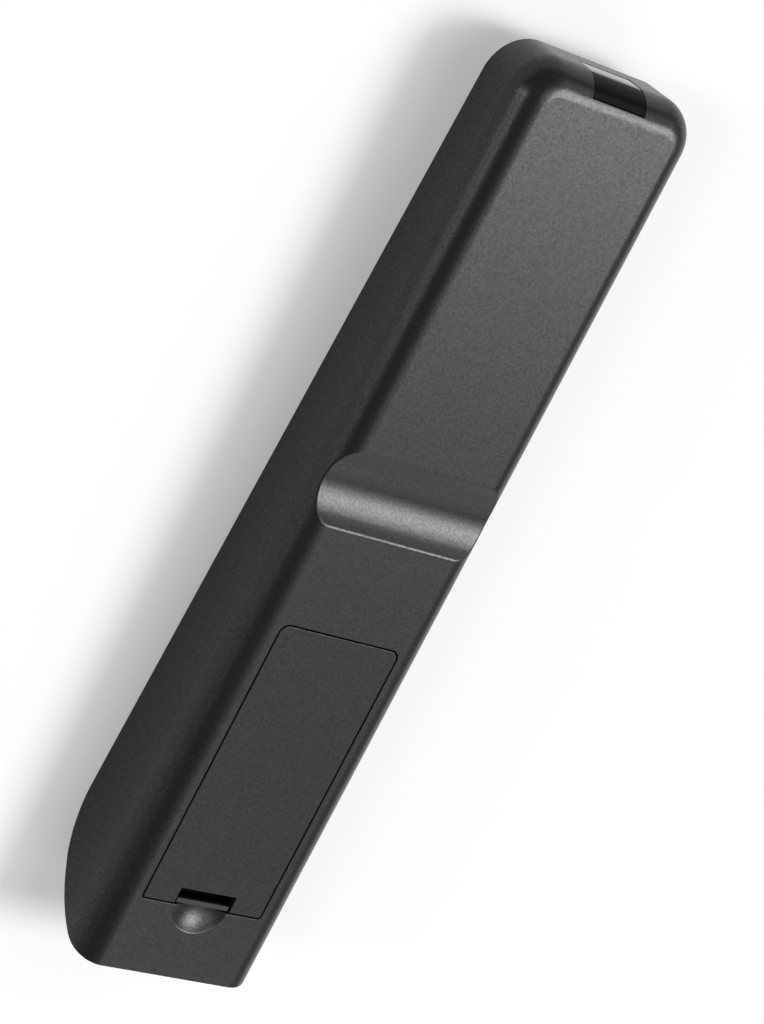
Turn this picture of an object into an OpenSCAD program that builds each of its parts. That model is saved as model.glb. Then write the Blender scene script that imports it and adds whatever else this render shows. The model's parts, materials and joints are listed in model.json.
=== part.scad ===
// Universal remote control, lying on its keys: back up (+Z), infrared end at -Y, battery end at +Y.
// Sizes in millimetres. "v" runs from the tail edge towards the nose, "d" from the nose towards the tail.

/* [Body] */
// Length from the tail edge to the nose wall
body_len = 207; // [206:0.5:230]
// Width over the side walls
body_w = 46.4; // [46:0.2:60]
// Height of the nose wall, front rim to back
nose_h = 14.2; // [14:0.1:18]
// Height over the tail round, the thickest place
body_h = 21.8; // [21.7:0.1:22.4]
// Radius of the round that carries the key face up to the tail edge
tail_r = 29; // [28:0.1:31]
// Radius of the round along the back's long edges and over the nose
edge_r = 6.5; // [5:0.1:7]
// Radius of the nose corners in plan
nose_r = 9; // [8:0.1:12]
// Wall of the rear shell
wall = 2; // [1.8:0.05:2.2]
// Thickness of the key plate
plate_t = 1.8; // [1.5:0.05:2]
// Seam between pieces that are fixed to each other
seam = 0.15; // [0.1:0.01:0.25]

/* [Finger groove] */
// Middle of the groove from the tail edge
groove_v = 112.8; // [110:0.1:120]
// Width of the groove along the body
groove_w = 16.6; // [12:0.1:18]
// Depth of the groove
groove_depth = 2.4; // [1.5:0.1:2.6]

/* [Battery cover] */
// Gap between the cover and the shell, all round
cover_gap = 0.3; // [0.3:0.01:0.4]
// Width of the cover
cover_w = 30.7; // [30.7:0.1:31.2]
// Length of the cover
cover_len = 64.8; // [64.8:0.1:66]
// Tail end of the cover from the tail edge
cover_v = 17.2; // [17:0.1:18]
// Thickness of the cover
cover_t = 1.8; // [1.6:0.05:1.9]
// Corner radius at the cover's upper end
cover_r = 2; // [1:0.1:3]
// Corner radius at the cover's latch end
cover_r2 = 0.6; // [0.4:0.1:1]
// Width of the latch notch
notch_w = 14.4; // [12:0.1:16]
// Depth of the latch notch
notch_d = 3.6; // [3.5:0.05:4]
// Half width of the thumb scoop below the latch
scoop_r = 6.8; // [5:0.1:7]
// Reach of the thumb scoop towards the tail
scoop_reach = 5.9; // [5:0.1:7]
// Depth of the thumb scoop
scoop_depth = 1.5; // [1.2:0.1:2.8]

/* [Latch] */
// Thickness of the latch strip
latch_t = 1; // [0.8:0.05:1.1]
// Inside radius of the latch's bend
latch_bend = 1.2; // [1.1:0.05:1.3]
// Gap at each side of the latch in its notch
latch_side = 0.5; // [0.4:0.05:0.8]
// Depth of the latch's bend below the back
latch_depth = 5.2; // [4.8:0.1:5.4]
// Travel of the latch
latch_travel = 1.5; // [1:0.1:1.6]

/* [Batteries] */
// Diameter of a cell
cell_d = 14.2; // [13.8:0.1:14.4]
// Length of a cell over its button
cell_len = 50.5; // [49.5:0.1:50.5]
// Distance between the two cell axes
cell_pitch = 14.6; // [14.5:0.1:15]
// Height of a cell's button
button_h = 1.2; // [1:0.1:1.4]
// Radius of a cell's button
button_r = 2.7; // [2.2:0.1:2.8]
// Gap between the cover and the cells below it
cell_gap = 0.35; // [0.3:0.05:0.4]
// Thickness of the contact sheet
contact_t = 0.4; // [0.3:0.05:0.5]
// Length of a contact spring as squeezed
spring_len = 5.9; // [5.5:0.1:6.2]
// Wire diameter of a contact spring
wire_d = 0.8; // [0.6:0.05:0.9]
// Turns of a contact spring
spring_turns = 4; // [3:0.5:5]
// Floor of the battery well
well_floor = 0.9; // [0.8:0.05:0.95]
// Walls of the battery well
well_wall = 1.2; // [1:0.1:1.4]

/* [Keys] */
// How far the keys stand out of the plate
key_out = 1.6; // [1:0.1:2]
// Gap between a key and its hole
key_gap = 0.35; // [0.33:0.01:0.45]
// Travel of a key
key_travel = 1; // [0.8:0.1:1.1]
// Gap between a key's flange and the plate
flange_gap = 0.35; // [0.32:0.01:0.45]
// Thickness of a key's flange
flange_t = 0.85; // [0.7:0.05:0.9]
// Width of a key's flange beyond its cap
flange_w = 0.6; // [0.4:0.05:0.65]
// Thickness of the carbon pill under a key
pill_t = 0.3; // [0.2:0.05:0.4]
// Gap between the outer keys and the board's long edges
key_edge = 3.2; // [3:0.1:3.6]
// Gap between the last key row and the board's lower end
key_end = 5.5; // [5:0.1:6]
// Width of a number key
key_w = 7.6; // [7:0.1:8]
// Height of a number key
key_h = 4.4; // [4:0.1:4.6]
// Corner radius of a number key
key_r = 1.8; // [1:0.1:1.9]
// Width of a device key
dev_w = 6.6; // [6:0.1:7]
// Height of a device key
dev_h = 3.6; // [3.4:0.1:4]
// Corner radius of a device key
dev_r = 1.3; // [1:0.1:1.6]
// Width of a colour key
colour_w = 5; // [4.6:0.1:5.2]
// Height of a colour key
colour_h = 3.6; // [3.4:0.1:3.8]
// Corner radius of a colour key
colour_r = 1.1; // [0.8:0.1:1.5]
// Distance of the power row from the nose
power_d = 12; // [11.8:0.1:12.5]
// Outer radius of the navigation ring
nav_r = 9.8; // [9.6:0.1:10]
// Inner radius of the navigation ring
nav_in = 5.6; // [5.5:0.1:5.8]
// Radius of the middle key
ok_r = 3.6; // [3.2:0.1:3.7]
// Gap between the four direction keys
nav_split = 2.4; // [2.2:0.1:2.8]
// Radius of the round keys beside the ring
disc_r = 2.4; // [2.2:0.1:2.5]
// Distance of the round keys from the ring's middle, along the body
disc_d = 9; // [8.8:0.1:9.4]
// Width of a rocker
rocker_w = 7.6; // [7:0.1:7.8]
// Length of a rocker
rocker_len = 14; // [13:0.1:14.4]
// Gap between a rocker and its hole
rocker_gap = 0.5; // [0.45:0.01:0.6]
// Tilt of a rocker to each side, degrees
rocker_tilt = 4; // [3:0.5:4]

/* [Inside] */
// Thickness of the silicone sheet between plate and board
sheet_t = 1.4; // [1.2:0.05:1.5]
// Gap between the sheet and the keys that pass it
sheet_gap = 0.4; // [0.35:0.01:0.45]
// Gap between the board's long edges and the shell's walls
board_side = 1.2; // [1:0.1:1.4]
// Width of the sheet's rim, which stands on the board
sheet_rim = 0.8; // [0.7:0.05:0.9]
// Gap between the plate and the sheet that lies on it
sheet_seat = 0.02; // [0.01:0.01:0.05]
// Thickness of the board
board_t = 1.2; // [1:0.1:1.3]
// Board's upper end, from the nose
board_d0 = 7; // [6.8:0.1:8]
// Gap between the board's lower end and the battery well
board_end = 3.4; // [3:0.1:4]
// Width of the infrared window
window_w = 13.8; // [12:0.1:15]
// Height of the window's lower edge below the back
window_low = 9.7; // [8:0.1:10]
// Reach of the window onto the back, from the nose
window_in = 4.2; // [3.5:0.1:5]
// How far the window's face lies below the shell's
window_sink = 0.35; // [0.25:0.05:0.5]
// Thickness of the window's inner flange
window_flange = 0.8; // [0.6:0.1:1]
// Radius of an infrared diode
led_r = 2.5; // [2.3:0.05:2.5]
// Distance of the infrared diodes from the middle
led_x = 3.4; // [3.2:0.1:4]

/* [Hidden] */
$fn = 64;

// Tail round: passes through the tail edge of the back, and the key face runs from the nose onto it.
tail_cn = tail_r - body_h;
tail_cv = sqrt(tail_r * tail_r - tail_cn * tail_cn);
front_tilt = asin(tail_r / norm([body_len - tail_cv, tail_cn + nose_h]))
    - atan2(tail_cn + nose_h, body_len - tail_cv);
slope = tan(front_tilt);
tangent = 0.005;
back_z = body_h;
nose_y = -body_len / 2;
tail_y = body_len / 2;
front_z = back_z - nose_h - body_len / 2 * slope + tangent / cos(front_tilt);
half_w = body_w / 2;
groove_r = (groove_w * groove_w / 4 + groove_depth * groove_depth) / (2 * groove_depth);
scoop_sphere = (scoop_r * scoop_r + scoop_depth * scoop_depth) / (2 * scoop_depth);
cover_top_v = cover_v + cover_len;
well_hw = cover_w / 2 + cover_gap;
cell_n = cover_t + cell_gap + cell_d / 2;
floor_n = cover_t + cell_gap + cell_d + 0.05;
tail_face_v = cover_v + 6;
top_face_v = tail_face_v + spring_len + cell_len + contact_t;
flange_z = plate_t + flange_gap;
pill_z = flange_z + flange_t;
board_z = pill_z + pill_t + key_travel + 0.4;
sheet_z = plate_t + sheet_seat;
sheet_grow = flange_w + sheet_gap;
board_hw = half_w - wall - board_side;
well_end_v = top_face_v + contact_t + well_wall;
board_d1 = body_len - well_end_v - board_end;
rocker_flange_z = plate_t + 1;
rocker_flange_t = 0.5;
rocker_pivot_z = rocker_flange_z + rocker_flange_t / 2;
// Key columns, and key rows with one gap between all of them
col_pitch = board_hw - key_edge - key_w / 2;
colour_pitch = (2 * (board_hw - key_edge) - colour_w) / 3;
colour_x = [for (i = [-1.5, -0.5, 0.5, 1.5]) i * colour_pitch];
disc_x = board_hw - key_edge - disc_r;
nav_half = max(nav_r, disc_d + disc_r);
row_gap = (board_d1 - key_end - power_d - 4.5 * key_h - dev_h - rocker_len - 2 * nav_half - colour_h) / 8;
row_pitch = key_h + row_gap;
device_d = power_d + key_h / 2 + row_gap + dev_h / 2;
digit_d = device_d + dev_h / 2 + row_gap + key_h / 2;
rocker_d = digit_d + 3 * row_pitch + key_h / 2 + row_gap + rocker_len / 2;
mid_d = (rocker_len - key_h) / 2;
nav_d = rocker_d + rocker_len / 2 + row_gap + nav_half;
colour_d = nav_d + nav_half + row_gap + colour_h / 2;
menu_d = nav_d - disc_d;
back_d = nav_d + disc_d;
screw_x = board_hw - 2.5;
chip_d = (board_d0 + board_d1) / 2;
post_d = device_d - (dev_h + row_gap) / 2;
POSTS = [[-col_pitch / 2, post_d], [col_pitch / 2, post_d], [-screw_x, nav_d],
    [screw_x, nav_d], [-board_hw / 2, board_d1 - 2.2], [board_hw / 2, board_d1 - 2.2]];
post_r = 1.3;
lamp_r = 1.5;
pin_r = 0.7;

// Spring cone: middle radius of its wide and its narrow end
spring_r0 = 4.2;
spring_r1 = 2.6;
// Contact strips: width, and depth where they reach the board
strip_w = 3;
strip_n = nose_h + board_d1 * slope - (board_z + board_t) / cos(front_tilt) - contact_t - 0.15;
// Drop from the diodes' axis to the board's back, where their leads end
led_lead = nose_h + 13 * slope - window_low / 2 - 1 - (board_z + board_t) / cos(front_tilt) + 0.3;
// Snap clips: places from the tail, width, thickness, height of the lip, its thickness, bite and room
CLIPS = [36, 66];
clip_w = 6;
clip_t = 1.2;
clip_z = 3;
clip_lip = 1;
clip_bite = 0.25;
clip_room = 0.4;
// Hinge hooks, bent round the cover's upper outer edge: place, width, inner radius, thickness, sweep
hook_x = 9;
hook_w = 5;
hook_r = wall + 1;
hook_t = 1;
hook_sweep = 38;
// Crown of the caps, and the ball that dishes the navigation ring
key_crown = 17;
rocker_crown = 60;
nav_ball = 60;
nav_dish = sqrt(nav_ball * nav_ball - nav_r * nav_r);
// Rectangular keys: x, distance from the nose, width, height, corner radius
RECTS = [[-col_pitch, power_d, key_w, key_h, key_r], [col_pitch, power_d, key_w, key_h, key_r],
    for (i = [-1, 0, 1]) [i * col_pitch, device_d, dev_w, dev_h, dev_r],
    for (j = [0:3]) for (i = [-1, 0, 1]) [i * col_pitch, digit_d + j * row_pitch, key_w, key_h, key_r],
    [0, rocker_d - mid_d, key_w, key_h, key_r], [0, rocker_d + mid_d, key_w, key_h, key_r],
    for (x = colour_x) [x, colour_d, colour_w, colour_h, colour_r]];

dark = [0.19, 0.19, 0.2];
tin = [0.8, 0.8, 0.82];

function yv(v) = body_len / 2 - v;
function yd(d) = nose_y + d;
function zn(n) = back_z - n;

// The key face's own frame: x across, y along the face, z into the body.
module front_frame() {
    translate([0, 0, front_z]) rotate([-front_tilt, 0, 0]) children();
}

module rr(w, h, r) {
    square([w - 2 * r, h], center = true);
    square([w, h - 2 * r], center = true);
    for (i = [-1, 1]) for (j = [-1, 1]) translate([i * (w / 2 - r), j * (h / 2 - r)]) circle(r);
}

// Side outline in (y, z); the key face and the tail round are moved in by "inset".
// The face's line ends a hair inside the round, so that the two cross at one clear point.
module side_outline(inset) {
    r = tail_r - inset;
    flat = r - tangent;
    ty = yv(tail_cv) - flat * sin(front_tilt);
    tz = tail_r - flat * cos(front_tilt);
    nz = tz + (ty - nose_y) * slope;
    polygon([[ty, back_z], [nose_y, back_z], [nose_y, nz], [ty, tz]]);
    intersection() {
        translate([yv(tail_cv), tail_r]) circle(r, $fn = 128);
        translate([ty - 5, back_z - 40]) square([60, 40]);
    }
}

module side_solid(inset, w) {
    rotate([90, 0, 90]) translate([0, 0, -w / 2]) linear_extrude(w) side_outline(inset);
}

// Body rounded along the back's edges and over the nose, moved in by "inset"; open to front and tail.
module top_solid(inset) {
    hw = half_w - inset;
    top = back_z - inset;
    re = edge_r - inset;
    nr = nose_r - inset;
    ny = nose_y + inset;
    low = -4;
    rotate([90, 0, 0]) translate([0, 0, -tail_y - 4]) linear_extrude(tail_y + 4 - (ny + nr)) {
        translate([re - hw, low]) square([2 * (hw - re), top - low]);
        translate([-hw, low]) square([2 * hw, top - re - low]);
        for (i = [-1, 1]) translate([i * (hw - re), top - re]) circle(re);
    }
    rotate([90, 0, 90]) translate([0, 0, nr - hw]) linear_extrude(2 * (hw - nr)) {
        translate([ny + re, low]) square([2 * nr - re, top - low]);
        translate([ny, low]) square([2 * nr, top - re - low]);
        translate([ny + re, top - re]) circle(re);
    }
    for (i = [-1, 1]) translate([i * (hw - nr), ny + nr, 0]) rotate_extrude() intersection() {
        union() {
            translate([0, low]) square([nr - re, top - low]);
            translate([0, low]) square([nr, top - re - low]);
            translate([nr - re, top - re]) circle(re);
        }
        translate([0, low]) square([nr + 1, top - low + 1]);
    }
}

module block(x0, x1, v0, v1, n0, n1) {
    translate([x0, yv(v1), zn(n1)]) cube([x1 - x0, v1 - v0, n1 - n0]);
}

module cover_outline(grow) {
    w = cover_w + 2 * grow;
    len = cover_len + 2 * grow;
    ra = cover_r + grow;
    rb = cover_r2 + grow;
    y0 = yv(cover_top_v + grow);
    y1 = yv(cover_v - grow);
    translate([-w / 2, y0 + ra]) square([w, len - ra - rb]);
    translate([ra - w / 2, y0]) square([w - 2 * ra, ra + 1]);
    translate([rb - w / 2, y1 - rb - 1]) square([w - 2 * rb, rb + 1]);
    for (i = [-1, 1]) {
        translate([i * (w / 2 - ra), y0 + ra]) circle(ra);
        translate([i * (w / 2 - rb), y1 - rb]) circle(rb);
    }
}

module groove_bar(r) {
    translate([0, yv(groove_v), zn(groove_depth - groove_r)]) rotate([0, 90, 0])
        cylinder(r = r, h = body_w + 2, center = true, $fn = 128);
}

module scoop_ball(r) {
    translate([0, yv(cover_v - cover_gap), zn(scoop_depth - scoop_sphere)])
        scale([1, scoop_reach / scoop_r, 1]) sphere(r, $fn = 96);
}

// Window section in (y, z) between two depths below the outer face.
module window_section(n0, n1) {
    difference() {
        window_corner(n0);
        window_corner(n1);
    }
}

module window_corner(n) {
    re = edge_r - n;
    translate([nose_y + n + re, zn(20)]) square([20, 20 - n]);
    translate([nose_y + n, zn(20)]) square([20 + re, 20 - n - re]);
    translate([nose_y + n + re, zn(n + re)]) circle(re);
}

module window_solid(n0, n1, grow) {
    w = window_w + 2 * grow;
    rotate([90, 0, 90]) translate([0, 0, -w / 2]) linear_extrude(w) intersection() {
        window_section(n0, n1);
        translate([nose_y - 1, zn(window_low + grow)])
            square([window_in + 1 + grow, window_low + grow + 1]);
    }
}

module well() {
    v0 = cover_v - cover_gap - well_wall;
    v1 = well_end_v;
    difference() {
        block(-well_hw - well_wall, well_hw + well_wall, v0, v1, wall / 2, floor_n + well_floor);
        block(-well_hw, well_hw, v0 + well_wall, v1 + 1, 0, floor_n);
    }
    block(-well_hw - 0.1, well_hw + 0.1, tail_face_v - contact_t - well_wall, tail_face_v - contact_t,
        latch_depth + 1, floor_n + 0.1);
    block(-well_hw - 0.1, well_hw + 0.1, v1 - well_wall, v1, 4.6, floor_n + 0.1);
}

module strip_slots() {
    for (i = [-1, 1]) {
        x = i * cell_pitch / 2;
        block(x - strip_w / 2 - seam, x + strip_w / 2 + seam, top_face_v, well_end_v + 1,
            strip_n - seam, strip_n + contact_t + seam);
    }
}

// Clip places: one of the four snap clips, standing on the key plate's inner face.
module at_clips() {
    for (i = [-1, 1]) for (v = CLIPS)
        translate([i * (half_w - wall), yv(v), front_z - yv(v) * slope + plate_t]) scale_x(i) children();
}

module scale_x(i) {
    if (i > 0) children();
    else mirror([1, 0, 0]) children();
}

module rear_shell() color(dark) difference() {
    union() {
        difference() {
            intersection() {
                top_solid(0);
                side_solid(0, body_w + 2);
            }
            top_solid(wall);
        }
        intersection() {
            union() {
                well();
                groove_bar(groove_r + wall);
                scoop_ball(scoop_sphere + well_wall);
            }
            top_solid(wall / 2);
            side_solid(plate_t + 0.1, body_w);
        }
    }
    groove_bar(groove_r);
    scoop_ball(scoop_sphere);
    translate([0, 0, zn(wall + 0.01)]) linear_extrude(wall + 1) cover_outline(cover_gap);
    block(-well_hw, well_hw, cover_v - cover_gap + cover_r2, top_face_v + contact_t,
        wall - 0.5, floor_n - 4);
    block(-notch_w / 2, notch_w / 2, cover_v - cover_gap, cover_v + 2, 0, latch_depth + 1);
    window_solid(-1, wall + 1, seam);
    strip_slots();
    at_clips() translate([-0.2, -clip_w / 2 - clip_room, clip_z - clip_room])
        cube([0.2 + clip_bite + clip_room, clip_w + 2 * clip_room, clip_lip + 2 * clip_room]);
}

module key_holes(grow, rocker_grow, h) {
    translate([0, 0, -3]) linear_extrude(h + 3) {
        for (k = RECTS) translate([k[0], yd(k[1])]) rr(k[2] + 2 * grow, k[3] + 2 * grow, k[4] + grow);
        for (i = [-1, 1]) translate([i * col_pitch, yd(rocker_d)]) rocker_outline(rocker_grow);
        translate([0, yd(nav_d)]) circle(ok_r + grow);
        for (a = [0, 90, 180, 270]) translate([0, yd(nav_d)]) rotate(a) nav_sector(grow, grow);
        for (i = [-1, 1]) for (d = [menu_d, back_d]) translate([i * disc_x, yd(d)]) circle(disc_r + grow);
    }
}

module rocker_outline(grow) {
    rr(rocker_w + 2 * grow, rocker_len + 2 * grow, rocker_w / 2 - 0.2 + grow);
}

module nav_sector(grow, grow_in) {
    apex = nav_split / 2 * sqrt(2) - grow * sqrt(2);
    intersection() {
        difference() {
            circle(nav_r + grow);
            circle(nav_in - grow_in);
        }
        polygon([[apex, 0], [apex + 20, 20], [apex + 20, -20]]);
    }
}

// Outline with two round nose corners, moved in by "inset"; open to the tail.
module board_outline(inset) {
    hw = board_hw - inset;
    d0 = board_d0 + inset;
    r = nose_r - wall - seam - inset;
    translate([-hw, yd(d0 + r)]) square([2 * hw, body_len]);
    translate([r - hw, yd(d0)]) square([2 * (hw - r), r + 1]);
    for (i = [-1, 1]) translate([i * (hw - r), yd(d0 + r)]) circle(r);
}

module front_shell() color([0.13, 0.13, 0.14]) difference() {
    union() {
        intersection() {
            difference() {
                side_solid(0, 2 * (half_w - wall - seam));
                side_solid(plate_t, body_w);
            }
            top_solid(wall + seam);
        }
        front_frame() for (p = POSTS) translate([p[0], yd(p[1]), plate_t - 0.3]) {
            cylinder(r = post_r, h = board_z - plate_t + 0.3);
            if (p[1] != nav_d) cylinder(r = pin_r, h = board_z - plate_t + board_t + 0.8);
        }
        at_clips() {
            translate([-seam - clip_t, -clip_w / 2, -0.4]) cube([clip_t, clip_w, clip_z + clip_lip + 0.8]);
            translate([-seam - 0.4, -clip_w / 2, clip_z]) cube([0.4 + seam + clip_bite, clip_w, clip_lip]);
        }
    }
    front_frame() {
        key_holes(key_gap, rocker_gap, plate_t + 0.5);
        translate([0, yd(power_d), -3]) cylinder(r = lamp_r + seam, h = plate_t + 4);
        for (i = [-1, 1]) translate([i * screw_x, yd(nav_d), plate_t + 0.4]) cylinder(r = 0.65, h = 6);
    }
}

module ir_window() color([0.05, 0.03, 0.05]) {
    window_solid(window_sink, wall, 0);
    window_solid(wall - 0.1, wall + window_flange, -0.1);
    window_solid(wall + 0.02, wall + window_flange, 1);
}

module battery_cover() color([0.2, 0.2, 0.21]) {
    difference() {
        translate([0, 0, zn(cover_t)]) linear_extrude(cover_t) cover_outline(0);
        block(-notch_w / 2, notch_w / 2, cover_v - 1, cover_v + notch_d, -1, cover_t + 1);
    }
    block(-0.6, 0.6, cover_v + 14, cover_top_v - 10, cover_t - 0.2, cover_t + 1.6);
    for (i = [-hook_x, hook_x]) {
        block(i - hook_w / 2, i + hook_w / 2, cover_top_v - 1.1, cover_top_v + 0.05,
            cover_t - 0.2, hook_r + hook_t - 0.2);
        translate([i, yv(cover_top_v), zn(0)]) rotate([90, 0, 90]) translate([0, 0, -hook_w / 2])
            linear_extrude(hook_w) hook_section();
    }
}

// A hook's section round the hinge line: from straight below it to "hook_sweep" under the shell's edge.
module hook_section() {
    far = 3 * hook_r;
    intersection() {
        difference() {
            circle(hook_r + hook_t);
            circle(hook_r);
        }
        polygon([[0, 0], [0, -far], [-far * sin(hook_sweep), -far * cos(hook_sweep)]]);
    }
}

module battery_latch() color([0.22, 0.22, 0.23]) {
    w = notch_w - 2 * latch_side;
    r1 = latch_bend + latch_t;
    c = cover_v + 0.15 + r1;
    rotate([90, 0, 90]) translate([0, 0, -w / 2]) linear_extrude(w) {
        intersection() {
            translate([yv(c), zn(latch_depth - r1)]) difference() {
                circle(r1);
                circle(latch_bend);
            }
            translate([yv(c + r1), zn(latch_depth + 1)]) square([2 * r1, r1 + 1]);
        }
        translate([yv(c - latch_bend), zn(latch_depth - r1)]) square([latch_t, latch_depth - r1 - 0.3]);
        translate([yv(c + r1), zn(latch_depth - r1)]) square([latch_t, latch_depth - r1 - cover_t - 0.35]);
    }
}

// A cell along +Y or -Y; "v" is the flat end, "s" the side the button looks to (+1 nose, -1 tail).
module cell(x, v, s) {
    translate([x, yv(v), zn(cell_n)]) rotate([s * 90, 0, 0]) {
        cylinder(d = cell_d, h = cell_len - button_h);
        cylinder(r = button_r, h = cell_len);
    }
}

module cell_a() color([0.75, 0.55, 0.2]) cell(-cell_pitch / 2, tail_face_v + spring_len, 1);

module cell_b() color([0.75, 0.55, 0.2]) cell(cell_pitch / 2, tail_face_v + contact_t + cell_len, -1);

// Wound wire: a cone-shaped coil from z = 0 to z = len.
module coil(len, r0, r1) {
    per = 20;
    sides = 8;
    steps = round(spring_turns * per);
    wr = wire_d / 2;
    function frac(i) = i / steps;
    function rise(i) = wr + (len - wire_d) * max(0, min(1, (frac(i) - 0.14) / 0.72));
    function rad(i) = r0 + (r1 - r0) * frac(i);
    pts = [for (i = [0:steps]) for (j = [0:sides - 1])
        let (a = 360 * i / per, b = 360 * j / sides, r = rad(i) + wr * cos(b))
            [r * cos(a), r * sin(a), rise(i) + wr * sin(b)]];
    faces = concat([[for (j = [0:sides - 1]) j]], [[for (j = [sides - 1:-1:0]) steps * sides + j]],
        [for (i = [0:steps - 1]) for (j = [0:sides - 1])
            let (k = (j + 1) % sides)
                [i * sides + j, i * sides + sides + j, i * sides + sides + k, i * sides + k]]);
    polyhedron(pts, faces);
}

module spring_a() color(tin) translate([-cell_pitch / 2, yv(tail_face_v), zn(cell_n)])
    rotate([90, 0, 0]) coil(spring_len, spring_r0, spring_r1);

module spring_b() color(tin) translate([cell_pitch / 2, yv(top_face_v), zn(cell_n)])
    rotate([-90, 0, 0]) coil(spring_len, spring_r0, spring_r1);

module contact_plus() color(tin) {
    x = -cell_pitch / 2;
    block(x - 5, x + 5, top_face_v, top_face_v + contact_t, 5.6, strip_n + contact_t);
    translate([x, yv(top_face_v) - 0.01, zn(cell_n)]) rotate([-90, 0, 0])
        cylinder(r = 1.8, h = contact_t + 0.01);
    block(x - strip_w / 2, x + strip_w / 2, top_face_v, body_len - board_d1 + 3,
        strip_n, strip_n + contact_t);
}

module contact_minus() color(tin) {
    x = cell_pitch / 2;
    block(x - 5, x + 5, top_face_v, top_face_v + contact_t, 5.6, strip_n + contact_t);
    block(x - strip_w / 2, x + strip_w / 2, top_face_v, body_len - board_d1 + 3,
        strip_n, strip_n + contact_t);
}

module contact_bridge() color(tin) {
    x = cell_pitch / 2;
    block(-x - 5, x + 5, tail_face_v - contact_t, tail_face_v, latch_depth + 1.3, cell_n + 4.5);
    translate([x, yv(tail_face_v) + 0.01, zn(cell_n)]) rotate([90, 0, 0])
        cylinder(r = 1.8, h = contact_t + 0.01);
}

module circuit_board() color([0.1, 0.35, 0.2]) front_frame() difference() {
    translate([0, 0, board_z]) linear_extrude(board_t) difference() {
        intersection() {
            board_outline(0);
            translate([-body_w / 2, yd(0)]) square([body_w, board_d1]);
        }
        for (p = POSTS) translate([p[0], yd(p[1])]) circle(p[1] == nav_d ? 0.9 : pin_r + seam);
    }
}

module ir_diode(x) {
    n = window_low / 2 + 1;
    tip = body_len - wall - window_flange - 0.5;
    translate([x, yv(tip - led_r), zn(n)]) {
        sphere(led_r);
        rotate([-90, 0, 0]) cylinder(r = led_r, h = 5.2);
        translate([0, 5.2, 0]) rotate([-90, 0, 0]) cylinder(r = led_r + 0.4, h = 1);
        for (i = [-1.27, 1.27]) translate([i, 6, 0]) {
            rotate([-90, 0, 0]) cylinder(r = 0.25, h = 3);
            translate([0, 2.75, 0.25]) mirror([0, 0, 1]) cylinder(r = 0.25, h = led_lead);
        }
    }
}

module ir_diode_a() color([0.6, 0.6, 0.75]) ir_diode(-led_x);

module ir_diode_b() color([0.6, 0.6, 0.75]) ir_diode(led_x);

module status_lamp() color([0.8, 0.1, 0.1]) front_frame() translate([0, yd(power_d), 0]) {
    cylinder(r = lamp_r, h = board_z);
    sphere(lamp_r);
}

// A place on the board's back
module on_board(x, d) {
    front_frame() translate([x, yd(d), board_z + board_t]) children();
}

module controller_chip() color([0.08, 0.08, 0.08]) on_board(0, chip_d) {
    translate([-3.8, -6.5, 0.15]) cube([7.6, 13, 2.2]);
    for (i = [-1, 1]) for (j = [0:9]) translate([i * 4.3 - 0.8, j * 1.27 - 5.915, 0]) cube([1.6, 0.45, 0.5]);
}

module resonator() color([0.75, 0.6, 0.15]) on_board(0, chip_d + 14) {
    translate([-3.5, -1.5, 0]) cube([7, 3, 4]);
}

module capacitor() color([0.1, 0.15, 0.4]) on_board(board_hw / 2, board_d1 - 16) {
    cylinder(d = 5, h = 5.5);
    translate([0, 0, 5.4]) cylinder(d = 4.4, h = 0.4);
}

module board_screw(x) {
    front_frame() translate([x, yd(nav_d), board_z + board_t]) {
        difference() {
            cylinder(r = 1.6, h = 1);
            translate([0, 0, 0.9]) cube([2, 0.45, 0.8], center = true);
            translate([0, 0, 0.9]) cube([0.45, 2, 0.8], center = true);
        }
        translate([0, 0, 0.1]) mirror([0, 0, 1]) cylinder(r = 0.6, h = board_t + 1.8);
    }
}

module board_screw_a() color([0.7, 0.7, 0.72]) board_screw(-screw_x);

module board_screw_b() color([0.7, 0.7, 0.72]) board_screw(screw_x);

module keypad_sheet() color([0.3, 0.3, 0.32]) front_frame() difference() {
    translate([0, 0, sheet_z]) {
        linear_extrude(sheet_t) sheet_outline(0);
        linear_extrude(board_z - sheet_z) difference() {
            sheet_outline(0);
            sheet_outline(sheet_rim);
        }
    }
    for (p = POSTS) translate([p[0], yd(p[1]), 0]) cylinder(r = post_r + seam, h = board_z + 1);
    translate([0, yd(power_d), 0]) cylinder(r = lamp_r + 2 * seam, h = board_z + 1);
    translate([0, yd(nav_d), 0]) cylinder(r = nav_r + sheet_grow, h = board_z + 1);
    key_holes(sheet_grow, sheet_grow, board_z + 3);
}

module sheet_outline(inset) {
    intersection() {
        board_outline(inset);
        translate([-body_w / 2, yd(0)]) square([body_w, board_d1 - inset]);
    }
}

module key_stack(x, d) {
    front_frame() translate([x, yd(d), 0]) children();
}

module pill(r) {
    translate([0, 0, pill_z - 0.05]) cylinder(r = r, h = pill_t + 0.05);
}

// A cap from the flange up to its crowned top, which bulges with radius "crown".
module cap(low, crown) {
    intersection() {
        translate([0, 0, -key_out]) linear_extrude(key_out + low) children();
        translate([0, 0, crown - key_out]) sphere(crown, $fn = 128);
    }
}

module rect_key(k) {
    key_stack(k[0], k[1]) {
        cap(flange_z + 0.1, key_crown) rr(k[2], k[3], k[4]);
        translate([0, 0, flange_z]) linear_extrude(flange_t)
            rr(k[2] + 2 * flange_w, k[3] + 2 * flange_w, k[4] + flange_w);
        pill(k[3] / 2 - 0.4);
    }
}

module disc_key(x, d, r) {
    key_stack(x, d) {
        cap(flange_z + 0.1, key_crown) circle(r);
        translate([0, 0, flange_z]) cylinder(r = r + flange_w, h = flange_t);
        pill(r - 0.6);
    }
}

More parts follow.
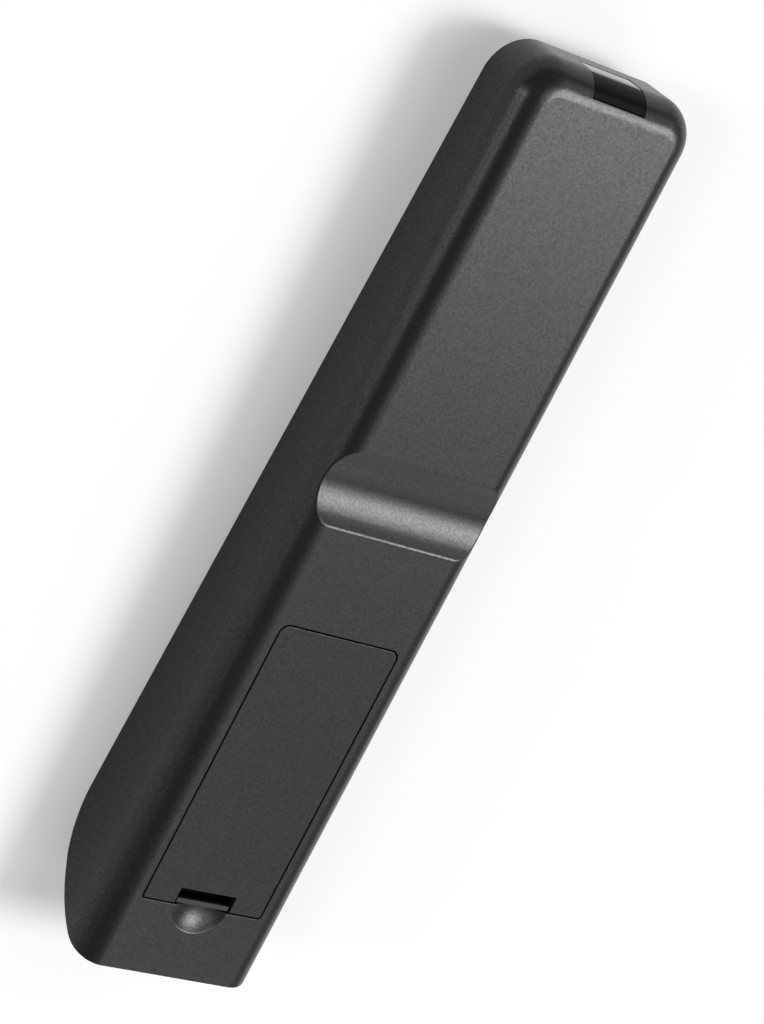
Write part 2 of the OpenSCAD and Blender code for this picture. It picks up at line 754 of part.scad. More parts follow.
module nav_key(a) {
    key_stack(0, nav_d) {
        difference() {
            translate([0, 0, -key_out]) linear_extrude(key_out + flange_z + 0.1) rotate(a) nav_sector(0, 0);
            translate([0, 0, -key_out - nav_dish]) sphere(nav_ball, $fn = 128);
        }
        translate([0, 0, flange_z]) linear_extrude(flange_t) rotate(a) nav_sector(flange_w, 0);
        rotate(a) translate([(nav_r + nav_in) / 2, 0, 0]) pill(1.6);
    }
}

module rocker_key(x) {
    key_stack(x, rocker_d) {
        cap(rocker_flange_z + 0.1, rocker_crown) rocker_outline(0);
        translate([0, 0, rocker_flange_z]) linear_extrude(rocker_flange_t) rocker_outline(flange_w);
        for (i = [-1, 1])
            translate([0, i * (rocker_len / 2 - 2.6), rocker_flange_z + rocker_flange_t - 0.05])
                cylinder(r = 1.8, h = pill_t + 0.05);
        translate([0, 0, rocker_pivot_z]) rotate([0, 90, 0])
            cylinder(r = board_z - rocker_pivot_z - 0.4, h = rocker_w - 2.6, center = true);
    }
}

module key_power() color([0.75, 0.12, 0.1]) rect_key(RECTS[0]);
module key_source() color([0.5, 0.5, 0.52]) rect_key(RECTS[1]);
module key_dev_1() color([0.5, 0.5, 0.52]) rect_key(RECTS[2]);
module key_dev_2() color([0.5, 0.5, 0.52]) rect_key(RECTS[3]);
module key_dev_3() color([0.5, 0.5, 0.52]) rect_key(RECTS[4]);
module key_1() color([0.35, 0.35, 0.37]) rect_key(RECTS[5]);
module key_2() color([0.35, 0.35, 0.37]) rect_key(RECTS[6]);
module key_3() color([0.35, 0.35, 0.37]) rect_key(RECTS[7]);
module key_4() color([0.35, 0.35, 0.37]) rect_key(RECTS[8]);
module key_5() color([0.35, 0.35, 0.37]) rect_key(RECTS[9]);
module key_6() color([0.35, 0.35, 0.37]) rect_key(RECTS[10]);
module key_7() color([0.35, 0.35, 0.37]) rect_key(RECTS[11]);
module key_8() color([0.35, 0.35, 0.37]) rect_key(RECTS[12]);
module key_9() color([0.35, 0.35, 0.37]) rect_key(RECTS[13]);
module key_dash() color([0.35, 0.35, 0.37]) rect_key(RECTS[14]);
module key_0() color([0.35, 0.35, 0.37]) rect_key(RECTS[15]);
module key_list() color([0.35, 0.35, 0.37]) rect_key(RECTS[16]);
module key_mute() color([0.35, 0.35, 0.37]) rect_key(RECTS[17]);
module key_info() color([0.35, 0.35, 0.37]) rect_key(RECTS[18]);
module key_red() color([0.7, 0.1, 0.1]) rect_key(RECTS[19]);
module key_green() color([0.1, 0.5, 0.2]) rect_key(RECTS[20]);
module key_yellow() color([0.85, 0.7, 0.1]) rect_key(RECTS[21]);
module key_blue() color([0.1, 0.25, 0.65]) rect_key(RECTS[22]);
module key_volume() color([0.4, 0.4, 0.42]) rocker_key(-col_pitch);
module key_channel() color([0.4, 0.4, 0.42]) rocker_key(col_pitch);
module key_up() color([0.4, 0.4, 0.42]) nav_key(270);
module key_down() color([0.4, 0.4, 0.42]) nav_key(90);
module key_left() color([0.4, 0.4, 0.42]) nav_key(180);
module key_right() color([0.4, 0.4, 0.42]) nav_key(0);
module key_ok() color([0.5, 0.5, 0.52]) disc_key(0, nav_d, ok_r);
module key_menu() color([0.4, 0.4, 0.42]) disc_key(-disc_x, menu_d, disc_r);
module key_guide() color([0.4, 0.4, 0.42]) disc_key(disc_x, menu_d, disc_r);
module key_back() color([0.4, 0.4, 0.42]) disc_key(-disc_x, back_d, disc_r);
module key_exit() color([0.4, 0.4, 0.42]) disc_key(disc_x, back_d, disc_r);

rear_shell();
front_shell();
ir_window();
battery_cover();
battery_latch();
cell_a();
cell_b();
spring_a();
spring_b();
contact_plus();
contact_minus();
contact_bridge();
circuit_board();
ir_diode_a();
ir_diode_b();
status_lamp();
controller_chip();
resonator();
capacitor();
board_screw_a();
board_screw_b();
keypad_sheet();
key_power();
key_source();
key_dev_1();
key_dev_2();
key_dev_3();
key_1();
key_2();
key_3();
key_4();
key_5();
key_6();
key_7();
key_8();
key_9();
key_dash();
key_0();
key_list();
key_volume();
key_channel();
key_mute();
key_info();
key_up();
key_down();
key_left();
key_right();
key_ok();
key_menu();
key_guide();
key_back();
key_exit();
key_red();
key_green();
key_yellow();
key_blue();
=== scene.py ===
# %% [markdown]
# # A remote control seen from behind
# The object is a slim battery remote that lies on its keys: a dark grey moulded back with a finger groove,
# a flush battery cover and a glossy infrared window wrapped over the nose.
# The solids come from the construction model, in metres, and are loaded as a fixed frame. Blender adds what
# the eye wants: softened edges, real finishes, wound springs, printed cells and key signs, light and camera.

# %% Load the frame
import json
import math

import bmesh
import bpy
from mathutils import Matrix, Vector


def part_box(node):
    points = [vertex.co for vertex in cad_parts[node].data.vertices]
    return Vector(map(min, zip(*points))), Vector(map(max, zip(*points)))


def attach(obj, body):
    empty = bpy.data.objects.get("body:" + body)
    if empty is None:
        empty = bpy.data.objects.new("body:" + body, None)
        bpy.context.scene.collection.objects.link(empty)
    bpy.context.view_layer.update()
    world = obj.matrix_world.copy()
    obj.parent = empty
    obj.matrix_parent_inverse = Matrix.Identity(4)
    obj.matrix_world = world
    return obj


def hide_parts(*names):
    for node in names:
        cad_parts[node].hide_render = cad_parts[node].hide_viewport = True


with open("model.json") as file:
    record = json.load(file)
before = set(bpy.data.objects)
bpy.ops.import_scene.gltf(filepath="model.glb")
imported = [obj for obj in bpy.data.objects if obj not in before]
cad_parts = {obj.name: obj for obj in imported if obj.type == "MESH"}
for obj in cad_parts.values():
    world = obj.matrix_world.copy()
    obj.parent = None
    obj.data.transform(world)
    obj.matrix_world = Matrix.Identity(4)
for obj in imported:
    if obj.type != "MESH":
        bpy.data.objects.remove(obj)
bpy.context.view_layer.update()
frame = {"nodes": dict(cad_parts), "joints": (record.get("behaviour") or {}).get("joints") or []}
MM = 0.001
MERGE = 0.002 * MM
back_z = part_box("rear_shell")[1].z
print("nodes", len(frame["nodes"]), "back at", round(back_z / MM, 2), "mm")

# %% [markdown]
# ## Camera
# The photograph was taken with a long lens from above the left side, and rolled so that the remote runs up
# the frame. A camera can be aimed by angles or by its three axes. Axes are used here, because the roll and
# the aim then come from one matrix. Its columns are the picture's right, its up, and the way to the lens.

# %% Camera at the photograph's place
PICTURE = (764, 1024)
FOCAL_PIXELS = 4000
SENSOR_MM = 36
eye = Vector((503.2, -205.8, 607.63)) * MM
right = Vector((-0.75116, -0.44774, 0.48506))
up = Vector((0.20891, -0.85828, -0.46874))
behind = right.cross(up)
lens = bpy.data.cameras.new("product_lens")
lens.sensor_width = SENSOR_MM
lens.lens = SENSOR_MM * FOCAL_PIXELS / max(PICTURE)
camera = bpy.data.objects.new("product_camera", lens)
camera.matrix_world = Matrix.Translation(eye) @ Matrix((right, up, behind)).transposed().to_4x4()
bpy.context.scene.collection.objects.link(camera)
bpy.context.scene.camera = camera
bpy.context.scene.view_settings.view_transform = "Standard"
print("lens", round(lens.lens, 1), "mm, distance", round(eye.length, 3), "m")

# %% [markdown]
# ## Colours, nodes and meshes
# A shader works in linear light, while a colour picker shows sRGB, so one function turns the written hex
# values to linear. A second one adds a shader node with its settings and links. A link is written as the pair
# (node, output); anything else is a plain value for that input. A third feeds the shader of a finish.


# %% Helpers for finishes and meshes
def linear(colour):
    """Turns an sRGB hex colour to linear RGBA."""
    parts = [int(colour[i:i + 2], 16) / 255 for i in (1, 3, 5)]
    return [c / 12.92 if c <= 0.04045 else ((c + 0.055) / 1.055) ** 2.4 for c in parts] + [1.0]


def shaded(colour, share):
    """The linear colour made darker or lighter by a share."""
    return [share * c for c in linear(colour)[:3]] + [1.0]


def add(tree, kind, inputs=None, **settings):
    """Adds one node; inputs are plain values or (node, output) links."""
    node = tree.nodes.new(kind)
    for name, value in settings.items():
        setattr(node, name, value)
    for name, value in (inputs or {}).items():
        if isinstance(value, tuple) and isinstance(value[0], bpy.types.Node):
            tree.links.new(value[0].outputs[value[1]], node.inputs[name])
        else:
            node.inputs[name].default_value = value
    return node


def feed(tree, shader, links):
    """Links (node, output) pairs to the shader's inputs of these names."""
    for name, (source, output) in links.items():
        tree.links.new(source.outputs[output], shader.inputs[name])


def start_material(name, **values):
    """A new material, its node tree, its shader with the constant values set, and its coordinates."""
    material = bpy.data.materials.new(name)
    material.use_nodes = True
    tree = material.node_tree
    shader = tree.nodes["Principled BSDF"]
    for socket, value in values.items():
        shader.inputs[socket.replace("_", " ")].default_value = value
    return material, tree, shader, add(tree, "ShaderNodeTexCoord")


def mesh_of(form, name):
    """Turns a finished bmesh into a mesh."""
    mesh = bpy.data.meshes.new(name)
    form.to_mesh(mesh)
    form.free()
    return mesh


print("dark grey in linear light", [round(c, 4) for c in linear("#262627")])

# %% [markdown]
# ## Floor, world and light
# The photograph is a product shot on plain white. The floor is a large white sheet that keeps the object's
# soft shadow. Soft boxes could be built as glowing planes, but their place would then show in each view, so
# each is a distant lamp with a wide disc. The broad key stands behind the right side and lights the flat back
# with a sheen that climbs towards the infrared end. The overhead and the groove fill soften the finger
# groove. Two weak lamps at the left draw the light lines along the round edge, and two behind the tail lift
# its end and its rim. The sky is dark overhead, so the rounds turn dark between those lines, and white near
# the horizon.

# %% White floor
FLOOR_HALF = 6
FLOOR_LIFT = 0.3
sheet = bmesh.new()
bmesh.ops.create_grid(sheet, x_segments=1, y_segments=1, size=FLOOR_HALF)
floor = bpy.data.objects.new("studio_floor", mesh_of(sheet, "studio_floor"))
bpy.context.scene.collection.objects.link(floor)
paper, tree, shader, place = start_material("Paper_matte_white", Roughness=1.0, Specular_IOR_Level=0.0)
shader.inputs["Base Color"].default_value = linear("#cfcfcf")
shader.inputs["Emission Color"].default_value = linear("#ffffff")
ray = add(tree, "ShaderNodeLightPath")
mirrored = add(tree, "ShaderNodeMath", {0: (ray, "Is Glossy Ray"), 1: (ray, "Is Transmission Ray")},
               operation="MAXIMUM")
seen = add(tree, "ShaderNodeMath", {0: (ray, "Is Camera Ray"), 1: (mirrored, "Value")}, operation="MAXIMUM")
lift = add(tree, "ShaderNodeMath", {0: (seen, "Value"), 1: FLOOR_LIFT}, operation="MULTIPLY")
feed(tree, shader, {"Emission Strength": (lift, "Value")})
floor.data.materials.append(paper)
print("floor", 2 * FLOOR_HALF, "m wide")

# %% Sky: white along the horizon and dark above, by the height of a direction from 0 to 1
WHITE_BELOW = 0.10
DARK_ABOVE = 0.22
DARK_SKY = 0.20
world = bpy.data.worlds.new("studio_sky")
bpy.context.scene.world = world
world.use_nodes = True
tree = world.node_tree
sky = tree.nodes["Background"]
sky_place = add(tree, "ShaderNodeTexCoord")
height = add(tree, "ShaderNodeSeparateXYZ", {"Vector": (sky_place, "Generated")})
rise = add(tree, "ShaderNodeMapRange", {"Value": (height, "Z"), "From Min": WHITE_BELOW,
                                        "From Max": DARK_ABOVE, "To Min": 1.0, "To Max": DARK_SKY})
feed(tree, sky, {"Strength": (rise, "Result")})
sky.inputs["Color"].default_value = linear("#ffffff")
print("sky strength", DARK_SKY, "above a height of", DARK_ABOVE)

# %% Lamps: name, azimuth from +X, elevation and width in degrees, strength
LAMP_WHITE = "#fafaff"
LAMPS = [
    ("broad_key", 187, 51, 24, 2.27),
    ("overhead", 190, 71, 32, 0.58),
    ("edge_low", 2, 17, 12, 0.36),
    ("edge_high", 2, 35, 12, 0.46),
    ("rim", 135, 19, 24, 0.15),
    ("tail_sheen", 135, 42, 24, 0.28),
    ("groove_fill", 220, 36, 24, 0.2),
]
for name, azimuth, elevation, width, strength in LAMPS:
    a, e = math.radians(azimuth), math.radians(elevation)
    towards = Vector((math.cos(e) * math.cos(a), math.cos(e) * math.sin(a), math.sin(e)))
    lamp = bpy.data.lights.new(name, "SUN")
    lamp.energy = strength
    lamp.angle = math.radians(width)
    lamp.color = linear(LAMP_WHITE)[:3]
    holder = bpy.data.objects.new(name, lamp)
    holder.rotation_mode = "QUATERNION"
    holder.rotation_quaternion = towards.to_track_quat("Z", "Y")
    bpy.context.scene.collection.objects.link(holder)

# %% [markdown]
# ## Moulded plastic and rubber
# The back is ABS from a mould whose steel was spark eroded, which leaves pits a few tenths of a millimetre
# wide. To the eye that is a matte, faintly speckled surface whose sheen spreads wide. A strong bump would
# make each pit glint like wet sand, so the pits mostly hold back the reflection and dent the surface only a
# little. The same recipe with a finer grain gives the satin key plate and the silicone keys. The real pits
# are finer than a pixel, so they are drawn about twice as wide to show.

# %% Moulded finish: by what share or how far the pits change the tone, the gloss and the shine
PIT_SPAN = {"From Min": 0.2, "From Max": 0.8}
PIT_TONE = 0.15
PIT_GLOSS = 0.01
PIT_SHINE = 0.38
PIT_BUMP = 0.1


def moulded(name, colour, grain, roughness, shine):
    """Moulded plastic or rubber: pits of width grain (metres) vary its tone, gloss, shine and relief."""
    material, tree, shader, place = start_material(name, IOR=1.5)
    pits = add(tree, "ShaderNodeTexNoise", {"Vector": (place, "Object"), "Scale": 1 / grain, "Detail": 2.0})
    dark, light = shaded(colour, 1 - PIT_TONE), shaded(colour, 1 + PIT_TONE)
    tone = add(tree, "ShaderNodeMix", {0: (pits, "Fac"), 6: dark, 7: light}, data_type="RGBA")
    gloss = add(tree, "ShaderNodeMapRange", {"Value": (pits, "Fac"), **PIT_SPAN,
                                             "To Min": roughness + PIT_GLOSS,
                                             "To Max": roughness - PIT_GLOSS})
    veil = add(tree, "ShaderNodeMapRange", {"Value": (pits, "Fac"), **PIT_SPAN,
                                            "To Min": (1 - PIT_SHINE) * shine,
                                            "To Max": (1 + PIT_SHINE) * shine})
    bump = add(tree, "ShaderNodeBump", {"Height": (pits, "Fac"), "Strength": PIT_BUMP, "Distance": grain / 4})
    feed(tree, shader, {"Base Color": (tone, 2), "Roughness": (gloss, "Result"),
                        "Specular IOR Level": (veil, "Result"), "Normal": (bump, "Normal")})
    return material


shell_abs = moulded("ABS_spark_eroded_grain", "#191919", 0.5 * MM, 0.30, 0.33)
cover_abs = moulded("ABS_spark_eroded_cover", "#151516", 0.5 * MM, 0.31, 0.30)
plate_abs = moulded("ABS_satin_black", "#141415", 0.2 * MM, 0.30, 0.5)
print("moulded finishes", shell_abs.name, cover_abs.name, plate_abs.name)

# %% Latch finish: dull from use on its tab, with painted shade that turns its colour black in the depth of its bend, where no light comes back
TAB_DEPTH = 0.5 * MM
BEND_DEPTH = 1.5 * MM
latch_abs, tree, shader, place = start_material("ABS_worn_dull_latch_painted_shade", IOR=1.2, Roughness=0.6)
# Painted shade: the base colour runs from the tab's grey down to black with the depth below the back, in place
# of the shade inside the bend.
spot = add(tree, "ShaderNodeSeparateXYZ", {"Vector": (place, "Object")})
bend_shade = add(tree, "ShaderNodeMapRange", {"Value": (spot, "Z"), "From Min": back_z - BEND_DEPTH,
                                         "From Max": back_z - TAB_DEPTH})
tone = add(tree, "ShaderNodeMix", {0: (bend_shade, "Result"), 6: linear("#020202"), 7: linear("#404041")},
           data_type="RGBA")
feed(tree, shader, {"Base Color": (tone, 2)})
print("latch finish", latch_abs.name)


# %% Ways to hang a finish on a solid and to settle a new piece
def dress(finish, *nodes):
    """Gives CAD nodes a finish; their meshes stay as they are."""
    for name in nodes:
        frame["nodes"][name].data.materials.clear()
        frame["nodes"][name].data.materials.append(finish)


def settle(name, mesh, body, finish, crease=35):
    """Makes a mesh a piece of the object: smooth up to the crease angle, riding on a body."""
    # A copy of a solid brings the solid's fixed normals, which don't fit its new edges.
    if "custom_normal" in mesh.attributes:
        mesh.attributes.remove(mesh.attributes["custom_normal"])
    mesh.shade_smooth()
    mesh.set_sharp_from_angle(angle=math.radians(crease))
    mesh.materials.clear()
    mesh.materials.append(finish)
    piece = bpy.data.objects.new(name, mesh)
    bpy.context.scene.collection.objects.link(piece)
    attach(piece, body)
    return piece


# %% [markdown]
# ## Softened mouldings
# No moulded edge is truly sharp. Light catches the rounded lip of the finger groove as a thin bright line,
# and the rim of the cover's opening as a fainter one. A Bevel modifier would round every edge inside the shell
# as well, so a merged copy of the solid gets only its outer edges bevelled: the groove's lips and the tail's
# rim wide, the rest fine. The copy stands for the solid, which stays hidden for the motion.

# %% Which edges are rounded, and how wide
GROOVE_Y = -9.3 * MM
GROOVE_HALF = 8.6 * MM
GROOVE_REACH = 7 * MM
TAIL_FROM = 90 * MM
LIP = 0.35 * MM
TAIL = 0.3 * MM
RIM = 0.15 * MM
ON_BACK = 0.02 * MM
# Shares of a face's normal: it faces a way above the first, runs along the body below the second, and is
# turned up at all above the third.
FACING = 0.3
ALONG = 0.05
UPWARD = 0.02


def groove_lip(edge):
    """True for the edges where the finger groove breaks through the back and the side rounds."""
    lowest = back_z - GROOVE_REACH
    near = all(abs(v.co.y - GROOVE_Y) < GROOVE_HALF and v.co.z > lowest for v in edge.verts)
    return near and any(face.normal.z > FACING for face in edge.link_faces)


def tail_edge(edge):
    """True for the outer rim, where the tail's leaning end wall meets the back and the side rounds."""
    if any(v.co.y < TAIL_FROM for v in edge.verts):
        return False
    end = [f for f in edge.link_faces if f.normal.y > FACING and f.normal.z < 0]
    rest = [f.normal for f in edge.link_faces if abs(f.normal.y) < ALONG]
    return len(end) == 1 and any(n.z > UPWARD or n.x * edge.verts[0].co.x > 0 for n in rest)


def back_rim(edge):
    """True for the edges left on the back itself: the rims of the cover and of its opening."""
    on_back = all(v.co.z > back_z - ON_BACK for v in edge.verts)
    return on_back and not groove_lip(edge) and not tail_edge(edge)


# %% Softened copies of the shell and the cover
FLAT = math.radians(0.3)
SHARP = math.radians(18)


def softened(node, rounds):
    """A merged copy of a CAD node; rounds are (width, test) pairs for the sharp edges to be rounded."""
    form = bmesh.new()
    form.from_mesh(frame["nodes"][node].data)
    bmesh.ops.remove_doubles(form, verts=form.verts, dist=MERGE)
    bmesh.ops.dissolve_limit(form, angle_limit=FLAT, verts=form.verts, edges=form.edges)
    for width, chosen in rounds:
        sharp = [e for e in form.edges if e.calc_face_angle() > SHARP and chosen(e)]
        bmesh.ops.bevel(form, geom=sharp, offset=width, offset_type="OFFSET", affect="EDGES", segments=3,
                        profile=0.5, material=-1, clamp_overlap=False)
        print(node, "rounded edges", len(sharp), "faces now", len(form.faces))
    return mesh_of(form, node + "_softened")


shell_mesh = softened("rear_shell", [(LIP, groove_lip), (TAIL, tail_edge), (RIM, back_rim)])
cover_mesh = softened("battery_cover", [(RIM, back_rim)])
for name, mesh, node, body, finish in (
        ("shell_moulding", shell_mesh, "rear_shell", "case", shell_abs),
        ("cover_moulding", cover_mesh, "battery_cover", "battery_cover", cover_abs)):
    piece = settle(name, mesh, body, finish)
    piece.modifiers.new("even_shading", "WEIGHTED_NORMAL").keep_sharp = True
    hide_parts(node)
dress(latch_abs, "battery_latch")
dress(plate_abs, "front_shell")

# %% [markdown]
# ## Polished and cast resin
# The infrared window is black polycarbonate. Its upright front is polished and mirrors the white studio as a
# crisp bright strip, while its round top lets light in and sends little back, so it looks deep black. One
# finish can't do both, so a copy of the solid is cut across and each part gets its own. The deep set face of
# the solid would mirror the rim below it, so the copy's face is raised to just under the shell. The diodes,
# the lamp and the dipped parts on the board are cast resins with faint flow marks that move their gloss.

# %% Resin finish
FLOW_LENGTH = 2 * MM
FLOW_GLOSS = 0.3
FLOW_TONE = 0.8


def resin(name, colour, roughness, ior, clear=0.0, coat=0.0):
    """Cast or polished resin with faint flow marks that change its gloss and its tone."""
    material, tree, shader, place = start_material(name, IOR=ior, Transmission_Weight=clear, Coat_Weight=coat,
                                                   Coat_Roughness=0.04)
    flow = add(tree, "ShaderNodeTexNoise", {"Vector": (place, "Object"), "Scale": 1 / FLOW_LENGTH})
    gloss = add(tree, "ShaderNodeMapRange", {"Value": (flow, "Fac"), "To Min": (1 - FLOW_GLOSS) * roughness,
                                             "To Max": (1 + FLOW_GLOSS) * roughness})
    tone = add(tree, "ShaderNodeMix", {0: (flow, "Fac"), 6: shaded(colour, FLOW_TONE), 7: linear(colour)},
               data_type="RGBA")
    feed(tree, shader, {"Base Color": (tone, 2), "Roughness": (gloss, "Result")})
    return material


dress(resin("Epoxy_clear_cast", "#c9c9e6", 0.08, 1.55, clear=0.85), "ir_diode_a", "ir_diode_b")
dress(resin("Epoxy_red_cast", "#c4161a", 0.12, 1.55, clear=0.35), "status_lamp")
dress(resin("Epoxy_moulded_black", "#121213", 0.45, 1.55), "controller_chip")
dress(resin("Epoxy_dipped_ochre", "#b98a2a", 0.3, 1.55), "resonator")
dress(resin("PVC_sleeve_dark_blue", "#1d2a55", 0.35, 1.53), "capacitor")
print("cast resins done")

# %% Infrared window: every corner beyond FACE_RADIUS round the nose's centre line is on the outer face
STRIP_TOP = back_z - 5.0 * MM
NOSE_ROUND = Vector((0, -97.0, 15.3)) * MM
FACE_RADIUS = 6.1 * MM
FACE_RAISE = 0.25 * MM
window_form = bmesh.new()
window_form.from_mesh(frame["nodes"]["ir_window"].data)
bmesh.ops.remove_doubles(window_form, verts=window_form.verts, dist=MERGE)
bmesh.ops.bisect_plane(window_form, geom=window_form.verts[:] + window_form.edges[:] + window_form.faces[:],
                       plane_co=(0, 0, STRIP_TOP), plane_no=(0, 0, 1))
for vert in window_form.verts:
    outwards = Vector((0, vert.co.y - NOSE_ROUND.y, max(0, vert.co.z - NOSE_ROUND.z)))
    if outwards.length > FACE_RADIUS:
        vert.co += outwards.normalized() * FACE_RAISE
polished = resin("Polycarbonate_polished_black", "#030203", 0.04, 1.585, coat=0.3)
window = settle("window_moulding", mesh_of(window_form, "window_moulding"), "case", polished)
window.data.materials.append(resin("Polycarbonate_clear_black", "#161517", 0.15, 1.12))
for face in window.data.polygons:
    face.material_index = int(face.center.z > STRIP_TOP)
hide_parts("ir_window")
print("window faces", len(window.data.polygons))

# %% [markdown]
# ## Plated sheet and wire
# The contacts are cut from nickel-plated spring steel, and the screws are zinc plated. Rolled sheet shows
# fine lines along its length, about a tenth of a millimetre apart, which spread the highlight. They are drawn
# a little coarser to show.

# %% Plated finish
LINE_GAP = 0.2 * MM
LINE_STRETCH = 0.08
LINE_GLOSS = 0.1
LINE_TONE = 0.85


def plated(name, colour, roughness):
    """Plated steel with rolling lines across the body's length."""
    material, tree, shader, place = start_material(name, Metallic=1.0)
    turn = add(tree, "ShaderNodeMapping", {"Vector": (place, "Object"), "Scale": (LINE_STRETCH, 1.0, 1.0)})
    streaks = add(tree, "ShaderNodeTexNoise", {"Vector": (turn, "Vector"), "Scale": 1 / LINE_GAP})
    gloss = add(tree, "ShaderNodeMapRange", {"Value": (streaks, "Fac"), "To Min": roughness - LINE_GLOSS,
                                             "To Max": roughness + LINE_GLOSS})
    tone = add(tree, "ShaderNodeMix", {0: (streaks, "Fac"), 6: shaded(colour, LINE_TONE), 7: linear(colour)},
               data_type="RGBA")
    feed(tree, shader, {"Base Color": (tone, 2), "Roughness": (gloss, "Result")})
    return material


nickel = plated("Steel_nickel_plated", "#cfcac0", 0.28)
dress(nickel, "contact_plus", "contact_minus", "contact_bridge")
dress(plated("Steel_zinc_plated", "#c4c6cc", 0.35), "board_screw_a", "board_screw_b")
print("plated finishes done")

# %% [markdown]
# ## Cells
# An AA cell is a drawn steel can in a printed shrink sleeve that is rolled over both ends, with a plus button
# on one end and a flat minus plate on the other. All three are round, so each is turned: a half section is
# drawn as points of radius and height, and spun once round the cell's axis.

# %% Turned pieces
SLEEVE = [(0, 0.3), (5.8, 0.3), (5.9, 0.12), (6.5, 0.08), (6.95, 0.3), (7.1, 0.8),
          (7.1, 48.4), (6.95, 48.95), (6.5, 49.2), (5.9, 49.16), (5.8, 48.9), (0, 48.9)]
PLUS_CAP = [(0, 50.5), (2.1, 50.5), (2.5, 50.4), (2.65, 50.1), (2.7, 49.5), (3.0, 49.12),
            (5.7, 49.05), (5.7, 48.8), (0, 48.8)]
MINUS_PLATE = [(0, 0.02), (4.2, 0.02), (4.5, 0.14), (5.7, 0.14), (5.7, 0.4), (0, 0.4)]


def turned(profile, base, axis, steps=64):
    """Spins a half section, (radius, height) in millimetres, round the axis that starts at base."""
    form = bmesh.new()
    out = axis.orthogonal().normalized()
    points = [form.verts.new(base + (out * r + axis * h) * MM) for r, h in profile]
    outline = [form.edges.new(pair) for pair in zip(points, points[1:])]
    bmesh.ops.spin(form, geom=points + outline, cent=base, axis=axis, angle=math.tau, steps=steps,
                   use_merge=True)
    bmesh.ops.remove_doubles(form, verts=form.verts, dist=MERGE)
    bmesh.ops.recalc_face_normals(form, faces=form.faces)
    return form


# %% Printed sleeve: grey film, a pale ring and a plain blue band at the plus end
FILM_GREY = "#b9bdc0"
RING_PALE = "#f0efe9"
BAND_BLUE = "#2c5878"
RING_FROM = 0.70
BAND_FROM = 0.72
RIPPLE = 3 * MM


def sleeve(name, flat_y, plus_y):
    """PVC shrink film; its print changes along the cell from the flat end to the plus end."""
    material, tree, shader, place = start_material(name, IOR=1.53)
    along = add(tree, "ShaderNodeSeparateXYZ", {"Vector": (place, "Object")})
    share = add(tree, "ShaderNodeMapRange", {"Value": (along, "Y"), "From Min": flat_y, "From Max": plus_y})
    bands = add(tree, "ShaderNodeValToRGB", {"Fac": (share, "Result")})
    bands.color_ramp.interpolation = "CONSTANT"
    for start, colour in ((RING_FROM, RING_PALE), (BAND_FROM, BAND_BLUE)):
        bands.color_ramp.elements.new(start).color = linear(colour)
    bands.color_ramp.elements[0].color = linear(FILM_GREY)
    bands.color_ramp.elements[-1].color = linear(BAND_BLUE)
    ripple = add(tree, "ShaderNodeTexNoise", {"Vector": (place, "Object"), "Scale": 1 / RIPPLE})
    gloss = add(tree, "ShaderNodeMapRange", {"Value": (ripple, "Fac"), "To Min": 0.27, "To Max": 0.33})
    feed(tree, shader, {"Base Color": (bands, "Color"), "Roughness": (gloss, "Result")})
    return material


# %% Make both cells
for node, heading in (("cell_a", -1), ("cell_b", 1)):
    low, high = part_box(node)
    axis = Vector((0, heading, 0))
    flat_y, plus_y = (high.y, low.y) if heading < 0 else (low.y, high.y)
    base = Vector(((low.x + high.x) / 2, flat_y, (low.z + high.z) / 2))
    film = sleeve("PVC_shrink_sleeve_" + node, flat_y, plus_y)
    for part, profile, finish, slot in (
            ("sleeve", SLEEVE, film, "cell"),
            ("plus_cap", PLUS_CAP, nickel, "metal"),
            ("minus_plate", MINUS_PLATE, nickel, "metal")):
        mesh = mesh_of(turned(profile, base, axis), node + "_" + part)
        piece = settle(node + "_" + part, mesh, "case", finish)
        if part == "sleeve":
            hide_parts(node)
    print(node, "base", [round(c / MM, 2) for c in base])

# %% [markdown]
# ## Springs
# The minus contacts are conical springs wound from plated wire, with flat end turns. A wire is a path with a
# round section, so the winding is drawn as a curve with a bevel, then made a mesh. The path climbs only in
# its middle, because the end turns lie flat.

# %% Wound springs: wire, wide and narrow radius in millimetres
WIRE, WIDE, NARROW = 0.8, 4.2, 2.6
TURNS, PER_TURN = 4, 40
FLAT_END = 0.14


def baked(data):
    """The mesh of a curve or of words, which are then taken away."""
    holder = bpy.data.objects.new("drawing", data)
    bpy.context.scene.collection.objects.link(holder)
    bpy.context.view_layer.update()
    drawn = holder.evaluated_get(bpy.context.evaluated_depsgraph_get())
    mesh = bpy.data.meshes.new_from_object(drawn)
    bpy.data.objects.remove(holder)
    bpy.data.curves.remove(data)
    return mesh


def winding(name, base, axis, length):
    """A conical spring from base along axis; FLAT_END is the share of the wire that lies flat at each end."""
    path = bpy.data.curves.new(name, "CURVE")
    path.dimensions = "3D"
    path.bevel_depth = WIRE / 2 * MM
    path.bevel_resolution = 4
    path.use_fill_caps = True
    out = Vector((1, 0, 0))
    side = axis.cross(out)
    steps = TURNS * PER_TURN
    line = path.splines.new("POLY")
    line.points.add(steps)
    for i, point in enumerate(line.points):
        share = i / steps
        climb = min(1, max(0, (share - FLAT_END) / (1 - 2 * FLAT_END)))
        radius = WIDE + (NARROW - WIDE) * share
        turn = math.tau * i / PER_TURN
        spot = out * radius * math.cos(turn) + side * radius * math.sin(turn)
        spot += axis * (WIRE / 2 + (length - WIRE) * climb)
        point.co = (*(base + spot * MM), 1)
    return baked(path)


for node, heading in (("spring_a", -1), ("spring_b", 1)):
    low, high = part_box(node)
    cell_low, cell_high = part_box(node.replace("spring", "cell"))
    middle = (cell_low + cell_high) / 2
    base = Vector((middle.x, high.y if heading < 0 else low.y, middle.z))
    mesh = winding(node, base, Vector((0, heading, 0)), (high.y - low.y) / MM)
    piece = settle(node + "_wound", mesh, "case", nickel, crease=60)
    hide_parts(node)
    print(node, "faces", len(mesh.polygons))

